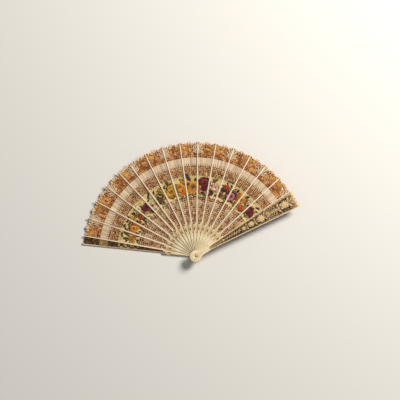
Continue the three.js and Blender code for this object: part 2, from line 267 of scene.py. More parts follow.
def stick_pattern():
    """A stick along +X from z = 0, with its ridges, and dark discs of painted shade in its eyes."""
    lobe, slit = spot(EYE_AT, STICK_PITCH / 2), spot(SLIT_AT, STICK_PITCH / 2)
    outline = whole(
        arc(0, 0, STICK_HEAD, 180, 310, 12)
        + [(NECK_AT, -NECK_WIDTH / 2)]
        + arc(lobe[0], -lobe[1], LOBE_RADIUS, -95, 75, 14)
        + [(RIB_FROM, -RIB_ROOT_WIDTH / 2), (FAN_RADIUS - 2 * KNOB_RADIUS, -RIB_TIP_WIDTH / 2)]
        + arc(FAN_RADIUS - KNOB_RADIUS, 0, KNOB_RADIUS, -130, 0, 8)
    )
    holes = [circle(0, 0, BORE, 24), circle(DOT_AT, 0, DOT_RADIUS, 12)]
    for y in (-1, 1):
        holes.append(circle(lobe[0], y * lobe[1], EYE_RADIUS, 16))
        holes.append(almond(slit[0], y * slit[1], SLIT_LENGTH, SLIT_WIDTH, y * STICK_PITCH / 2))
    pieces = [sawn_plate("stick", outline, holes, STICK_THICKNESS, ROUNDING)]
    eye_shade_discs = []
    for y in (-1, 1):
        ridge = [(x, y * RIDGE_ACROSS * gorge_half_width(x)) for x in RIDGE_AT]
        pieces.append(raised_line(ridge, RIDGE_RADIUS, STICK_THICKNESS - RIDGE_SUNK))
        ring = circle(lobe[0], y * lobe[1], EYE_RADIUS + RING_GAP, 16)
        pieces.append(raised_line(ring, RING_RADIUS, STICK_THICKNESS - RING_SUNK, cyclic=True))
        # A dark disc of painted shade fills each eye
        eye = circle(lobe[0], y * lobe[1], EYE_RADIUS + EYE_SHADE_OVERLAP, 16)
        eye_shade_discs.append(sawn_plate("eye_shade_disc", eye, [], EYE_SHADE_THICKNESS, EYE_SHADE_ROUNDING, EYE_SHADE_ROUNDING))
    spine = [(RIB_FROM - 2, 0), (FAN_RADIUS - 3 * KNOB_RADIUS, 0)]
    pieces.append(raised_line(spine, SPINE_RADIUS, STICK_THICKNESS - SPINE_SUNK))
    bone = stick_bone()
    eye_shade = principled("painted eye shade", {"Base Color": paint(40, 24, 10), "Roughness": 0.5})[0]
    for piece in pieces:
        piece.data.materials.append(bone)
    for eye_shade_disc in eye_shade_discs:
        eye_shade_disc.data.materials.append(eye_shade)
    stick = joined("stick pattern", pieces + eye_shade_discs)
    map_grain(stick, gorge_half_width)
    return stick


def add_node(tree, kind, inputs=(), out=0, **settings):
    """Adds a shader node and returns one of its outputs. inputs gives each input its value or
    the output that feeds it."""
    made = tree.nodes.new("ShaderNode" + kind)
    for name, value in settings.items():
        setattr(made, name, value)
    for socket, value in dict(inputs).items():
        if isinstance(value, bpy.types.NodeSocket):
            tree.links.new(value, made.inputs[socket])
        else:
            made.inputs[socket].default_value = value
    return made.outputs[out]


def ramp(tree, value, stops):
    """Colours along a value, from stops of a place and a colour."""
    made = tree.nodes.new("ShaderNodeValToRGB")
    elements = made.color_ramp.elements
    while len(elements) < len(stops):
        elements.new(0.5)
    for element, (place, colour) in zip(elements, stops):
        element.position = place
        element.color = colour
    tree.links.new(value, made.inputs[0])
    return made.outputs[0]


def mixed(tree, share, first, second, blend="MIX"):
    inputs = {0: share, 6: first, 7: second}
    return add_node(tree, "Mix", inputs, 2, data_type="RGBA", blend_type=blend)


def emboss(tree, shader, height, strength, distance):
    """Bump of this height in millimetres."""
    bump = {"Height": height, "Strength": strength, "Distance": distance * MM}
    tree.links.new(add_node(tree, "Bump", bump), shader.inputs["Normal"])


def grain_axes(tree):
    """The bone's UVs, with the distance from the rivet and the share of the way to the edge."""
    grain = add_node(tree, "UVMap", uv_map="grain")
    along = add_node(tree, "SeparateXYZ", {0: grain}, "X")
    across = add_node(tree, "SeparateXYZ", {0: grain}, "Y")
    return grain, along, add_node(tree, "Math", {0: across}, operation="ABSOLUTE")


def stick_bone():
    """Polished bone: cream in the gorge, pinker and paler along the ribs, with faint streaks."""
    material, tree, shader = principled("polished bone", {"Roughness": 0.42})
    grain, along, edge = grain_axes(tree)
    share = add_node(tree, "MapRange", {"Value": along, "From Max": FAN_RADIUS * MM})
    stops = [(0.0, paint(238, 222, 182)), (0.17, paint(246, 232, 198)), (0.24, paint(222, 196, 152))]
    stops += [(0.31, paint(238, 216, 184)), (0.7, paint(242, 221, 196)), (1.0, paint(246, 226, 204))]
    tint = ramp(tree, share, stops)
    stretched = add_node(tree, "Mapping", {"Vector": grain, "Scale": (60, 3, 1)})
    streaks = add_node(tree, "TexNoise", {"Vector": stretched, "Scale": 1.6, "Detail": 5})
    stain = ramp(tree, streaks, [(0.3, (0.78, 0.72, 0.6, 1)), (0.62, (1, 1, 1, 1))])
    # Darker along each stick's edges: dirt in the joints, and painted shade for the shadow lines between
    # overlapping sticks
    edge_shade_and_dirt = ramp(tree, edge, [(0.93, (1, 1, 1, 1)), (1.0, (0.76, 0.68, 0.54, 1))])
    for darkening in (stain, edge_shade_and_dirt):
        tint = mixed(tree, 1.0, tint, darkening, "MULTIPLY")
    tree.links.new(tint, shader.inputs["Base Color"])
    emboss(tree, shader, streaks, 0.25, 0.15)
    return material


def heading(name):
    """The direction in degrees from the rivet to a stick's knob."""
    end = max((v.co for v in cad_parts[name].data.vertices), key=lambda co: co.xy.length)
    return math.degrees(math.atan2(end.y, end.x))


STICKS = [name for name in sorted(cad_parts) if name.startswith("stick_")]
headings = [heading(name) for name in STICKS]
levels = [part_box(name)[0].z for name in STICKS]
pattern = stick_pattern()
for name, angle, level in zip(STICKS, headings, levels):
    stick = put("bone_" + name, pattern.data.copy())
    stick.data.transform(Matrix.Translation((0, 0, level)) @ Matrix.Rotation(math.radians(angle), 4, "Z"))
    smoothed(stick, STICK_SHARP_FROM)
    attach(stick, name)
    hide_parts(name)
bpy.data.objects.remove(pattern)


# Guards
# The two thick end sticks, carved in relief from bone: a round head and smooth handle, then
# a flaring blade whose sunk panel holds flowers, curling leaves and openings between two
# plain rims. They are cut alike, and the rear one is turned over.
GUARD_THICKNESS = 2.6
GUARD_HEAD, GUARD_HEAD_BACK = 11.5, 1.5
GUARD_NECK_AT, GUARD_NECK_WIDTH = 15, 10.6
BLADE_FROM, BLADE_TO = 34, 225
BLADE_ROOT_WIDTH, BLADE_END_WIDTH = 8, 36.4
GUARD_KNOB, GUARD_KNOB_BACK = 1.8, 1
SCALLOPS, SCALLOP_HEIGHT, SCALLOP_STEPS = 2, 2.4, 10
RIM = 1.6
PANEL_FROM, PANEL_TO, PANEL_DEPTH, PANEL_POINT = 33, 223, 0.9, 5
FACE_OVERLAP, BASE_ROUNDING, FACE_ROUNDING = 0.05, 0.2, 0.25
RIM_RIDGE_INSET, RIM_RIDGE_RADIUS, RIM_RIDGE_SUNK = 0.55, 0.5, 0.25
SEAT_RADIUS = 3.3
HEAD_DOT_AT, HEAD_DOT_ANGLE, HEAD_DOT_RADIUS = 8.9, 211.6, 0.9
OPENINGS_AT, OPENING_LENGTH = [35, 50, 67, 84, 101, 118, 135, 152, 169, 186, 203], 12
OPENING_ACROSS, OPENING_SLANT, OPENING_SWELL = 0.74, 0.42, 0.17
CARVING_HEIGHT, CARVING_SUNK = 0.75 * MM, 0.1
BLOSSOMS_AT = [(62, 0.7), (109, 0.66), (127, 0.74), (149, 0.88), (204, 0.66)]  # place, share of the width
OUTER_PETALS, INNER_PETALS, INNER_SHARE = 9, 6, 0.62
BOSSES, BOSSES_OUT, BOSSES_BELOW = 12, 1.22, 0.7
LEAF_PAIRS, LEAF_REACH = [118, 137, 159, 190, 214], 0.8
LEAF_SPRAY = [(-3, 64, 1.1), (1, 34, 1.0), (4, 12, 0.7)]  # place, turn, size
RIM_LEAF_AT, RIM_LEAF_ACROSS, RIM_LEAF_TURN, RIM_LEAF_SHARE = 5, 0.86, 168, 0.6
BARS_AT = [38, 43, 48, 53, 71, 76.5, 82, 87.5, 93, 98.5]
BAR_TURN, BAR_REACH = 56, 0.86
LATTICE_FROM, LATTICE_TO, LATTICE_STEP, LATTICE_TURN = 162, 182, 5, 50
LATTICE_MARGIN = 0.4
LATTICE_BAR, LATTICE_POST = (0.45, 0.4), (0.6, 0.35)  # radius, height of its middle
FILL_FROM, FILL_STEP, FILL_EACH_SIDE = 103, 3.4, 3
FILL_PITCH, FILL_SIZE, FILL_SUNK = 0.27, 0.34, 0.15
BEAD_STEP, BEAD_INSET = 3.4, 0.75
# Depths over which the sunk parts darken, with age and with painted shade
SHADE_AND_AGE_FROM, SHADE_AND_AGE_OVER = 0.3, 0.5
GUARD_SHARP_FROM = 45


def blade_half_width(x):
    share = (x - BLADE_FROM) / (BLADE_TO - BLADE_FROM)
    return (BLADE_ROOT_WIDTH + (BLADE_END_WIDTH - BLADE_ROOT_WIDTH) * share) / 2


def panel_half_width(x):
    return blade_half_width(x) - RIM


def swept(a, b, c, steps):
    """Points along a smooth curve that leaves a towards b and reaches c from it, without a."""
    shares = [i / steps for i in range(1, steps + 1)]
    return [
        tuple((1 - t) ** 2 * a[k] + 2 * t * (1 - t) * b[k] + t * t * c[k] for k in (0, 1)) for t in shares
    ]


def guard_outline():
    head = arc(-GUARD_HEAD_BACK, 0, GUARD_HEAD, 180, 310, 20)
    neck = (GUARD_NECK_AT, -GUARD_NECK_WIDTH / 2)
    sweep = swept(head[-1], ((head[-1][0] + neck[0]) / 2, neck[1]), neck, 8)
    edge = [(BLADE_FROM, -BLADE_ROOT_WIDTH / 2), (BLADE_TO, -BLADE_END_WIDTH / 2)]
    knob_x = FAN_RADIUS - GUARD_KNOB - GUARD_KNOB_BACK
    knob = arc(knob_x, GUARD_KNOB - BLADE_END_WIDTH / 2, GUARD_KNOB, -120, 90, 12)
    steps = SCALLOP_STEPS * SCALLOPS
    end = []
    for i in range(1, steps + 1):
        swell = SCALLOP_HEIGHT * abs(math.sin(math.pi * i / SCALLOP_STEPS))
        end.append((BLADE_TO + swell, knob[-1][1] * (1 - i / steps)))
    return whole(head + sweep + edge + knob + end)


def opening(start, length, side):
    """A slanting leaf-shaped opening on one side of the panel."""
    far, near = [], []
    for i in range(9):
        t = i / 8
        x = start + length * t
        middle, swell = OPENING_ACROSS - OPENING_SLANT * t, OPENING_SWELL * math.sin(math.pi * t)
        width = panel_half_width(x) * side
        far.append((x, (middle + swell) * width))
        if 0 < i < 8:
            near.append((x, (middle - swell) * width))
    return far + near[::-1]


def carved_boss(radius, height):
    bpy.ops.mesh.primitive_uv_sphere_add(segments=12, ring_count=8, radius=1)
    boss = bpy.context.object
    boss.data.transform(Matrix.Diagonal((radius, radius, height, 1)))
    return boss


def carved_leaf(length, width, height):
    """A pointed leaf with a rounded back, in metres, lying along +X from the origin."""
    leaf = carved_boss(0.5, 0.5)
    for vertex in leaf.data.vertices:
        x, y, z = vertex.co
        taper = math.sqrt(max(0.0, 1 - (2 * x) ** 2))
        vertex.co = (x + 0.5, y * taper + 0.12 * math.sin(math.pi * (x + 0.5)), z)
    leaf.data.transform(Matrix.Diagonal((length, width, 2 * height, 1)))
    return leaf


class Relief:
    """Carvings that stand on a floor at this height."""

    def __init__(self, floor):
        self.floor, self.pieces = floor, []

    def add(self, carving, x, y, turn=0, size=1.0, flip=1, rise=0.0):
        """Sets down a copy of a carving, turned by an angle in degrees."""
        copy = put("carving", carving.data.copy())
        place = Matrix.Translation((x * MM, y * MM, (self.floor + rise) * MM))
        place = place @ Matrix.Rotation(math.radians(turn), 4, "Z")
        copy.data.transform(place @ Matrix.Diagonal((size, size * flip, 1, 1)))
        if flip < 0:
            copy.data.flip_normals()
        self.pieces.append(copy)

    def line(self, points, radius, rise):
        self.pieces.append(raised_line(points, radius, self.floor + rise))


def carve_blossoms(relief, petal, heart, bead):
    """Round blossoms in two rings of petals, with small bosses round the slighter ones."""
    for x, share in BLOSSOMS_AT:
        reach = share * panel_half_width(x)
        for i in range(OUTER_PETALS):
            relief.add(petal, x, 0, 360 / OUTER_PETALS * i + 10, reach)
        for i in range(INNER_PETALS):
            relief.add(petal, x, 0, 360 / INNER_PETALS * i, INNER_SHARE * reach, rise=0.2)
        relief.add(heart, x, 0, 0, reach, rise=0.1)
        for i in range(BOSSES if share < BOSSES_BELOW else 0):
            along, across = spot(BOSSES_OUT * reach, 360 / BOSSES * i)
            relief.add(bead, x + along, across)


def carve_bars(relief, bar):
    """Slanting bars across the narrow part of the blade."""
    turn = math.radians(BAR_TURN)
    for x in BARS_AT:
        half = BAR_REACH * panel_half_width(x)
        relief.add(bar, x - half / math.tan(turn), -half, BAR_TURN, 2 * half / math.sin(turn))


def carve_lattice(relief):
    """Thin crossing bars, cut off where the panel ends, between two upright ones."""
    slope = math.tan(math.radians(LATTICE_TURN))
    low, high = panel_half_width(LATTICE_FROM), panel_half_width(LATTICE_TO)
    x = LATTICE_FROM - 2 * high / slope
    while x < LATTICE_TO:
        for side in (-1, 1):
            line = []
            for i in range(25):
                y = high * (i / 12 - 1)
                along = x + (y + high) / slope
                reach = panel_half_width(along) - LATTICE_MARGIN
                if LATTICE_FROM <= along <= LATTICE_TO and abs(y) < reach:
                    line.append((along, y * side))
            if len(line) > 2:
                relief.line([line[0], line[-1]], *LATTICE_BAR)
        x += LATTICE_STEP
    for x, half in ((LATTICE_FROM, low), (LATTICE_TO, high)):
        relief.line([(x, -half), (x, half)], *LATTICE_POST)


def carve_filling(relief, leaf):
    """Small leaves at changing angles, all over the outer panel but for the lattice."""
    x = FILL_FROM
    while x < PANEL_TO - 4:
        half = panel_half_width(x)
        for k in range(-FILL_EACH_SIDE, FILL_EACH_SIDE + 1):
            if not LATTICE_FROM < x < LATTICE_TO:
                turn = 40 * k + 140 * (round(x / FILL_STEP) % 2)
                relief.add(leaf, x, FILL_PITCH * k * half, turn, FILL_SIZE * half, rise=-FILL_SUNK)
        x += FILL_STEP


def carve_sprays(relief, leaf):
    """Leaves that spread to both sides from the centreline, with one lying along each rim."""
    for x in LEAF_PAIRS:
        reach = LEAF_REACH * panel_half_width(x)
        for side in (-1, 1):
            for along, turn, size in LEAF_SPRAY:
                relief.add(leaf, x + along, 0.4 * side, turn * side, reach * size, side)
            far = x + RIM_LEAF_AT
            edge = RIM_LEAF_ACROSS * side * panel_half_width(far)
            relief.add(leaf, far, edge, RIM_LEAF_TURN * side, reach * RIM_LEAF_SHARE, side)


def carve_beads(relief, bead):
    """A row of beads inside each rim."""
    x = PANEL_FROM + 3
    while x < PANEL_TO - 3:
        for side in (-1, 1):
            relief.add(bead, x, side * (panel_half_width(x) - BEAD_INSET))
        x += BEAD_STEP


def carve_panel(floor_height):
    """Everything that stands in the sunk panel, joined."""
    petal = carved_leaf(1 * MM, 0.55 * MM, CARVING_HEIGHT)
    leaf = carved_leaf(1 * MM, 0.42 * MM, CARVING_HEIGHT)
    bar = carved_leaf(1 * MM, 0.2 * MM, CARVING_HEIGHT)
    bead = carved_boss(0.8 * MM, CARVING_HEIGHT)
    heart = carved_boss(0.22 * MM, 0.95 * MM)
    relief = Relief(floor_height)
    carve_blossoms(relief, petal, heart, bead)
    carve_bars(relief, bar)
    carve_lattice(relief)
    carve_filling(relief, leaf)
    carve_sprays(relief, leaf)
    carve_beads(relief, bead)
    for piece in (petal, leaf, bar, bead, heart):
        bpy.data.objects.remove(piece)
    return joined("carving", relief.pieces)


def guard_pattern():
    """The carved guard along +X with its carved face up, from z = 0."""
    panel_floor = GUARD_THICKNESS - PANEL_DEPTH
    bore = circle(0, 0, BORE, 24)
    openings = [opening(x, OPENING_LENGTH, side) for x in OPENINGS_AT for side in (-1, 1)]
    base = sawn_plate("guard base", guard_outline(), [bore, *openings], panel_floor, BASE_ROUNDING)
    low, high = panel_half_width(PANEL_FROM), panel_half_width(PANEL_TO)
    window = [(PANEL_FROM - PANEL_POINT, 0), (PANEL_FROM, -low), (PANEL_TO, -high)]
    window += [(PANEL_TO, high), (PANEL_FROM, low)]
    dot = circle(*spot(HEAD_DOT_AT, HEAD_DOT_ANGLE), HEAD_DOT_RADIUS, 12)
    holes = [circle(0, 0, SEAT_RADIUS, 24), window, dot]
    thickness, bottom = PANEL_DEPTH + FACE_OVERLAP, panel_floor - FACE_OVERLAP
    face = sawn_plate("guard face", guard_outline(), holes, thickness, FACE_ROUNDING, bottom)
    for side in (-1, 1):
        ends = (BLADE_FROM + 4, BLADE_TO - 2)
        line = [(x, side * (blade_half_width(x) - RIM_RIDGE_INSET)) for x in ends]
        ridge = raised_line(line, RIM_RIDGE_RADIUS, GUARD_THICKNESS - RIM_RIDGE_SUNK)
        face = joined("guard face", [face, ridge])
    guard = joined("guard pattern", [base, face, carve_panel(panel_floor - CARVING_SUNK)])
    map_grain(guard, blade_half_width)
    mark_depth(guard)
    return guard


def mark_depth(guard):
    """Marks how deep each point of the panel lies, from 0 near the top to 1 near the floor, for the painted
    shade and age darkening in the hollows.
    """
    depth = guard.data.attributes.new("depth", "FLOAT", "POINT")
    for vertex, item in zip(guard.data.vertices, depth.data):
        sunk = (GUARD_THICKNESS * MM - vertex.co.z) / (PANEL_DEPTH * MM)
        x, y = vertex.co.x / MM, vertex.co.y / MM
        inside = PANEL_FROM - PANEL_POINT - 1 < x < PANEL_TO + 1 and abs(y) < blade_half_width(x) - 0.9
        item.value = min(1.0, max(0.0, (sunk - SHADE_AND_AGE_FROM) / SHADE_AND_AGE_OVER)) if inside else 0.0


def mottle(tree, scale, detail):
    """Noise that is fixed to the object."""
    place = add_node(tree, "TexCoord", out="Object")
    return add_node(tree, "TexNoise", {"Vector": place, "Scale": scale, "Detail": detail})


def guard_bone(handle, high, middle, low, edge):
    """Carved bone: a pale handle, and a blade lighter on top and darker the deeper it lies, from age and from
    painted shade in the sunk parts.
    """
    material, tree, shader = principled("carved bone", {"Roughness": 0.45})
    _, along, across = grain_axes(tree)
    ends = {"From Min": (BLADE_FROM - 6) * MM, "From Max": (BLADE_FROM + 6) * MM}
    blade = add_node(tree, "MapRange", {"Value": along, **ends})
    rim = add_node(tree, "MapRange", {"Value": across, "From Min": 0.88, "From Max": 0.93})
    rim = add_node(tree, "Math", {0: rim, 1: blade}, operation="MULTIPLY")
    tint = mixed(tree, blade, paint(*handle), paint(*high))
    # The deeper a point of the panel lies, the darker it is: age in the hollows, and painted shade
    depth = add_node(tree, "Attribute", out="Fac", attribute_name="depth")
    noise = mottle(tree, 260, 6)
    uneven = add_node(tree, "Math", {0: noise, 1: 0.7, 2: -0.35}, operation="MULTIPLY_ADD")
    depth_shade_and_grime = add_node(tree, "Math", {0: depth, 1: uneven}, operation="ADD", use_clamp=True)
    for start, colour in ((0.0, middle), (0.5, low)):
        share = add_node(tree, "MapRange", {"Value": depth_shade_and_grime, "From Min": start, "From Max": start + 0.5})
        tint = mixed(tree, share, tint, paint(*colour))
    tree.links.new(mixed(tree, rim, tint, paint(*edge)), shader.inputs["Base Color"])
    emboss(tree, shader, noise, 0.3, 0.2)
    return material


def centreline(name):
    """The direction in degrees of a guard's centreline: halfway between its two far knobs."""
    ends = [v.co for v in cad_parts[name].data.vertices if v.co.xy.length > (FAN_RADIUS - 2) * MM]
    turns = [math.degrees(math.atan2(co.y, co.x)) for co in ends]
    return (min(turns) + max(turns)) / 2


carved = guard_pattern()
guard_turns = {name: centreline(name) for name in ("rear_guard", "front_guard")}
guard_face = guard_bone((240, 220, 180), (222, 188, 136), (126, 96, 58), (50, 34, 18), (242, 214, 182))
for name, turn in guard_turns.items():
    guard = put("carved_" + name, carved.data.copy())
    place = Matrix.Rotation(math.radians(turn), 4, "Z")
    if name == "rear_guard":
        over = Matrix.Rotation(math.pi, 4, "X")
        place = place @ Matrix.Translation((0, 0, GUARD_THICKNESS * MM)) @ over
    guard.data.transform(Matrix.Translation((0, 0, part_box(name)[0].z)) @ place)
    guard.data.materials.append(guard_face)
    smoothed(guard, GUARD_SHARP_FROM)
    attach(guard, name)
    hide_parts(name)
bpy.data.objects.remove(carved)


# Rivet
# A brass pin through all the heads, a washer let into the front guard and a small domed
# button, all dulled to a greyish yellow.
def rivet_metal():
    material, tree, shader = principled("dull brass", {"Metallic": 0.4})
    noise = mottle(tree, 900, 4)
    tint = ramp(tree, noise, [(0.0, paint(160, 146, 98)), (1.0, paint(222, 208, 160))])
    rough = add_node(tree, "MapRange", {"Value": noise, "To Min": 0.3, "To Max": 0.55})
    tree.links.new(tint, shader.inputs["Base Color"])
    tree.links.new(rough, shader.inputs["Roughness"])
    return material


brass = rivet_metal()
for name in ("rivet_pin", "rivet_washer", "rivet_stud"):
    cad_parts[name].data.materials.clear()
    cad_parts[name].data.materials.append(brass)


# Leaf
# A strip of lace, silk and ribbon, pleated and glued under the ribs, with one gore between
# each two ribs. Each gore is cut here in rings.
LEAF_FROM, LEAF_TO, LEAF_MIDDLE = 67.9, 228, 150
LEAF_GAP = 0.03
CLOTH = 0.15
FOLD_DEPTHS = [0.3, 1.0, 1.6]
FULL_FOLD = 1.7
CREASE = 0.5
LAND = 0.06
LEDGE, DROP, DROP_SHARE = 0.03, 0.1, 0.48
GLUED_INSET = 2
FOLD_MEASURED_AT = 0.4
LIFT_END, LIFT_SHARE = 0.75, 0.25
rng = random.Random(11)


class Gore:
    """The part of the leaf between two neighbouring ribs, or between a rib and a guard. across
    runs from 0 at its lesser angle, low, to 1 at high. Both are functions of the radius, and
    level gives the height of the cloth, in metres, for a radius and a place across. bodies are
    the two at its sides, and soft gives two places across it, which follow reads."""

    def __init__(self, node, low, high, level, bodies, soft=(0.5, 0.0)):
        self.node, self.low, self.high = node, low, high
        self.level, self.bodies, self.soft = level, bodies, soft

    def angle(self, radius, across):
        return math.radians(self.low(radius) + (self.high(radius) - self.low(radius)) * across)

    def place(self, radius, across):
        turn = self.angle(radius, across)
        return (radius * MM * math.cos(turn), radius * MM * math.sin(turn), self.level(radius, across))

    def lay(self, x, y, rise):
        """Lays a point given in the flat, in millimetres, on the cloth."""
        radius = math.hypot(x, y)
        low, high = self.low(radius), self.high(radius)
        across = (math.degrees(math.atan2(y, x)) - low) / (high - low)
        return (x * MM, y * MM, self.level(radius, across) + rise * MM)


def pleated(low_level, high_level, fold):
    """The height of a gore that is folded down along its middle. A narrow strip beside each rib
    stays level, and the cloth drops steeply from the later one."""

    def level(radius, across):
        taut = low_level + (high_level - low_level) * across
        if across < DROP:
            share = DROP_SHARE * max(0, across - LEDGE) / (DROP - LEDGE)
        elif across < CREASE:
            share = DROP_SHARE + (1 - DROP_SHARE) * (across - DROP) / (CREASE - DROP)
        else:
            share = max(0, 1 - LAND - across) / (1 - LAND - CREASE)
        return taut - fold * MM * radius / LEAF_TO * share

    return level


def steady(value):
    """The same value at every radius, or at every place across."""
    return lambda _: value


def glued_edge(radius):
    """Degrees from a guard's centreline to the edge of the leaf that is glued to it."""
    return math.degrees(math.asin((blade_half_width(min(radius, BLADE_TO)) - GLUED_INSET) / radius))


LAST_RIB_UNDERSIDE = levels[-1] - LEAF_GAP * MM
GUARD_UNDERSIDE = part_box("front_guard")[0].z - LEAF_GAP * MM


def lifted(radius, across):
    """The height of the last panel, which rises from under the last rib to the guard."""
    rise = min(1, max(0, (LIFT_END - across) / LIFT_SHARE))
    return LAST_RIB_UNDERSIDE + (GUARD_UNDERSIDE - LAST_RIB_UNDERSIDE) * rise


gores = []
for i in range(len(STICKS) - 1):
    fold = FOLD_DEPTHS[i] if i < len(FOLD_DEPTHS) else FULL_FOLD
    height = pleated(levels[i + 1] - LEAF_GAP * MM, levels[i] - LEAF_GAP * MM, fold)
    name = "leaf_gore_" + STICKS[i][-2:]
    gores.append(Gore(name, steady(headings[i + 1]), steady(headings[i]), height, (STICKS[i], STICKS[i + 1])))
rear_panel = Gore(
    "leaf_rear_panel",
    steady(headings[0]),
    lambda radius: guard_turns["rear_guard"] + glued_edge(radius),
    lambda radius, across: (GUARD_THICKNESS + CLOTH + LEAF_GAP) * MM,
    ("rear_guard", "rear_guard"),
)
front_panel = Gore(
    "leaf_front_panel",
    lambda radius: guard_turns["front_guard"] - glued_edge(radius),
    steady(headings[-1]),
    lifted,
    (STICKS[-1], "front_guard"),
    soft=(1.0, 0.55),
)


def cloth_material(name, roughness, mottling, weave, sheen):
    """Thread or silk in the colour that its faces are dyed, a little uneven, finely woven."""
    values = {"Roughness": roughness, "Sheen Weight": sheen, "Specular IOR Level": 0.25}
    material, tree, shader = principled(name, values)
    dye = add_node(tree, "Attribute", out="Color", attribute_name="dye")
    ends = {"From Min": 0.25, "From Max": 0.75, "To Min": 1 - mottling, "To Max": 1 + mottling}
    tone = add_node(tree, "MapRange", {"Value": mottle(tree, 420, 5), **ends})
    dyed = add_node(tree, "VectorMath", {0: dye, "Scale": tone}, operation="SCALE")
    tree.links.new(dyed, shader.inputs["Base Color"])
    wave = {"Vector": add_node(tree, "UVMap", uv_map="weave"), "Scale": weave, "Distortion": 0.6}
    threads = [add_node(tree, "TexWave", wave, "Fac", bands_direction=axis) for axis in ("X", "Y")]
    woven = add_node(tree, "Math", enumerate(threads), operation="MAXIMUM")
    emboss(tree, shader, woven, 0.5, 0.1)
    return material


thread = cloth_material("lace thread", 0.92, 0.14, 330, 0.15)
silk = cloth_material("painted silk", 0.6, 0.08, 420, 0.1)


def cloth_object(name, points, faces, dyes, material):
    """A mesh with a dye for each corner of each face, and UVs that follow the weave."""
    mesh = bpy.data.meshes.new(name)
    mesh.from_pydata(points, [], faces)
    dye = mesh.attributes.new("dye", "FLOAT_COLOR", "CORNER")
    colours = np.array([colour for face in dyes for colour in face], np.float32)
    dye.data.foreach_set("color", np.hstack([colours, np.ones((len(colours), 1), np.float32)]).ravel())
    corners = np.empty(len(mesh.loops), np.int32)
    mesh.loops.foreach_get("vertex_index", corners)
    x, y, _ = np.array(points)[corners].T
    weave = np.column_stack([np.arctan2(y, x) * LEAF_MIDDLE * MM, np.hypot(x, y)])
    mesh.uv_layers.new(name="weave").data.foreach_set("uv", weave.ravel())
    mesh.materials.append(material)
    return put(name, mesh)


def thickened(piece, thickness):
    """Gives a sheet its real thickness, downwards from its upper face."""
    select([piece])
    solidify = piece.modifiers.new("cloth", "SOLIDIFY")
    solidify.thickness = thickness * MM
    solidify.offset = -1
    bpy.ops.object.modifier_apply(modifier=solidify.name)
    return piece


def flat_area(points, faces):
    total = 0.0
    for face in faces:
        corners = [points[i] for i in face]
        for (x, y, _), (next_x, next_y, _) in zip(corners, corners[1:] + corners[:1]):
            total += x * next_y - y * next_x
    return abs(total) / 2


def follow(piece, gore, radius):
    """Fixes a piece to its gore's first body where both bodies are the same one. Otherwise it
    only bakes the piece's place into its mesh."""
    first, second = gore.bodies
    if first == second:
        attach(piece, first)
    else:
        begin, end = gore.soft
        turn = gore.angle(radius, begin)
        start = Vector(gore.place(radius, begin))
        reach = radius * MM * math.sin(turn - gore.angle(radius, end))
        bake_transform(piece)
    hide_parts(gore.node)


def cells(gore, inner, outer, columns, rows, draw, shake):
    """Cloth drawn cell by cell between two edges, which are functions of the place across.
    draw gives each cell's hole, as a share of its width, its dye, and the dye of a dark face
    that fills the hole as painted shade, or None where it is open."""
    points, tints, faces, dyes, known = [], [], [], [], {}

    def mark(across, out, dye):
        points.append(gore.place(inner(across) + (outer(across) - inner(across)) * out, across))
        tints.append(dye)
        return len(points) - 1

    def knot(i, j, dye):
        if (i, j) not in known:
            across, out = i / (2 * columns), j / (2 * rows)
            if i not in (0, columns / 2, columns, 2 * columns):
                across += rng.uniform(-shake, shake) / columns
            if j not in (0, 2 * rows):
                out += rng.uniform(-shake, shake) / rows
            known[i, j] = mark(across, out, dye)
        return known[i, j]

    def add(face, dye=None):
        faces.append(face)
        dyes.append([dye or tints[k] for k in face])

    ring = [(0, 0), (1, 0), (2, 0), (2, 1), (2, 2), (1, 2), (0, 2), (0, 1)]
    for i in range(columns):
        for j in range(rows):
            hole, dye, hole_shade = draw(i, j)
            border = [knot(2 * i + a, 2 * j + b, dye) for a, b in ring]
            if not hole:
                add(border[::-1])
                continue
            lip = []
            for a, b in ring:
                reach = hole / 2 / math.hypot(a - 1, b - 1)
                across, out = (i + 0.5 + (a - 1) * reach) / columns, (j + 0.5 + (b - 1) * reach) / rows
                lip.append(mark(across, out, dye))
            for k in range(8):
                following = (k + 1) % 8
                add([border[following], border[k], lip[k], lip[following]])
            # A filled hole is a dark face of painted shade
            if hole_shade:
                add(lip[::-1], hole_shade)
    return points, faces, dyes


def toned(colour, tone):
    return [c * tone for c in colour]


def shades(*colours):
    return [shade(*colour) for colour in colours]


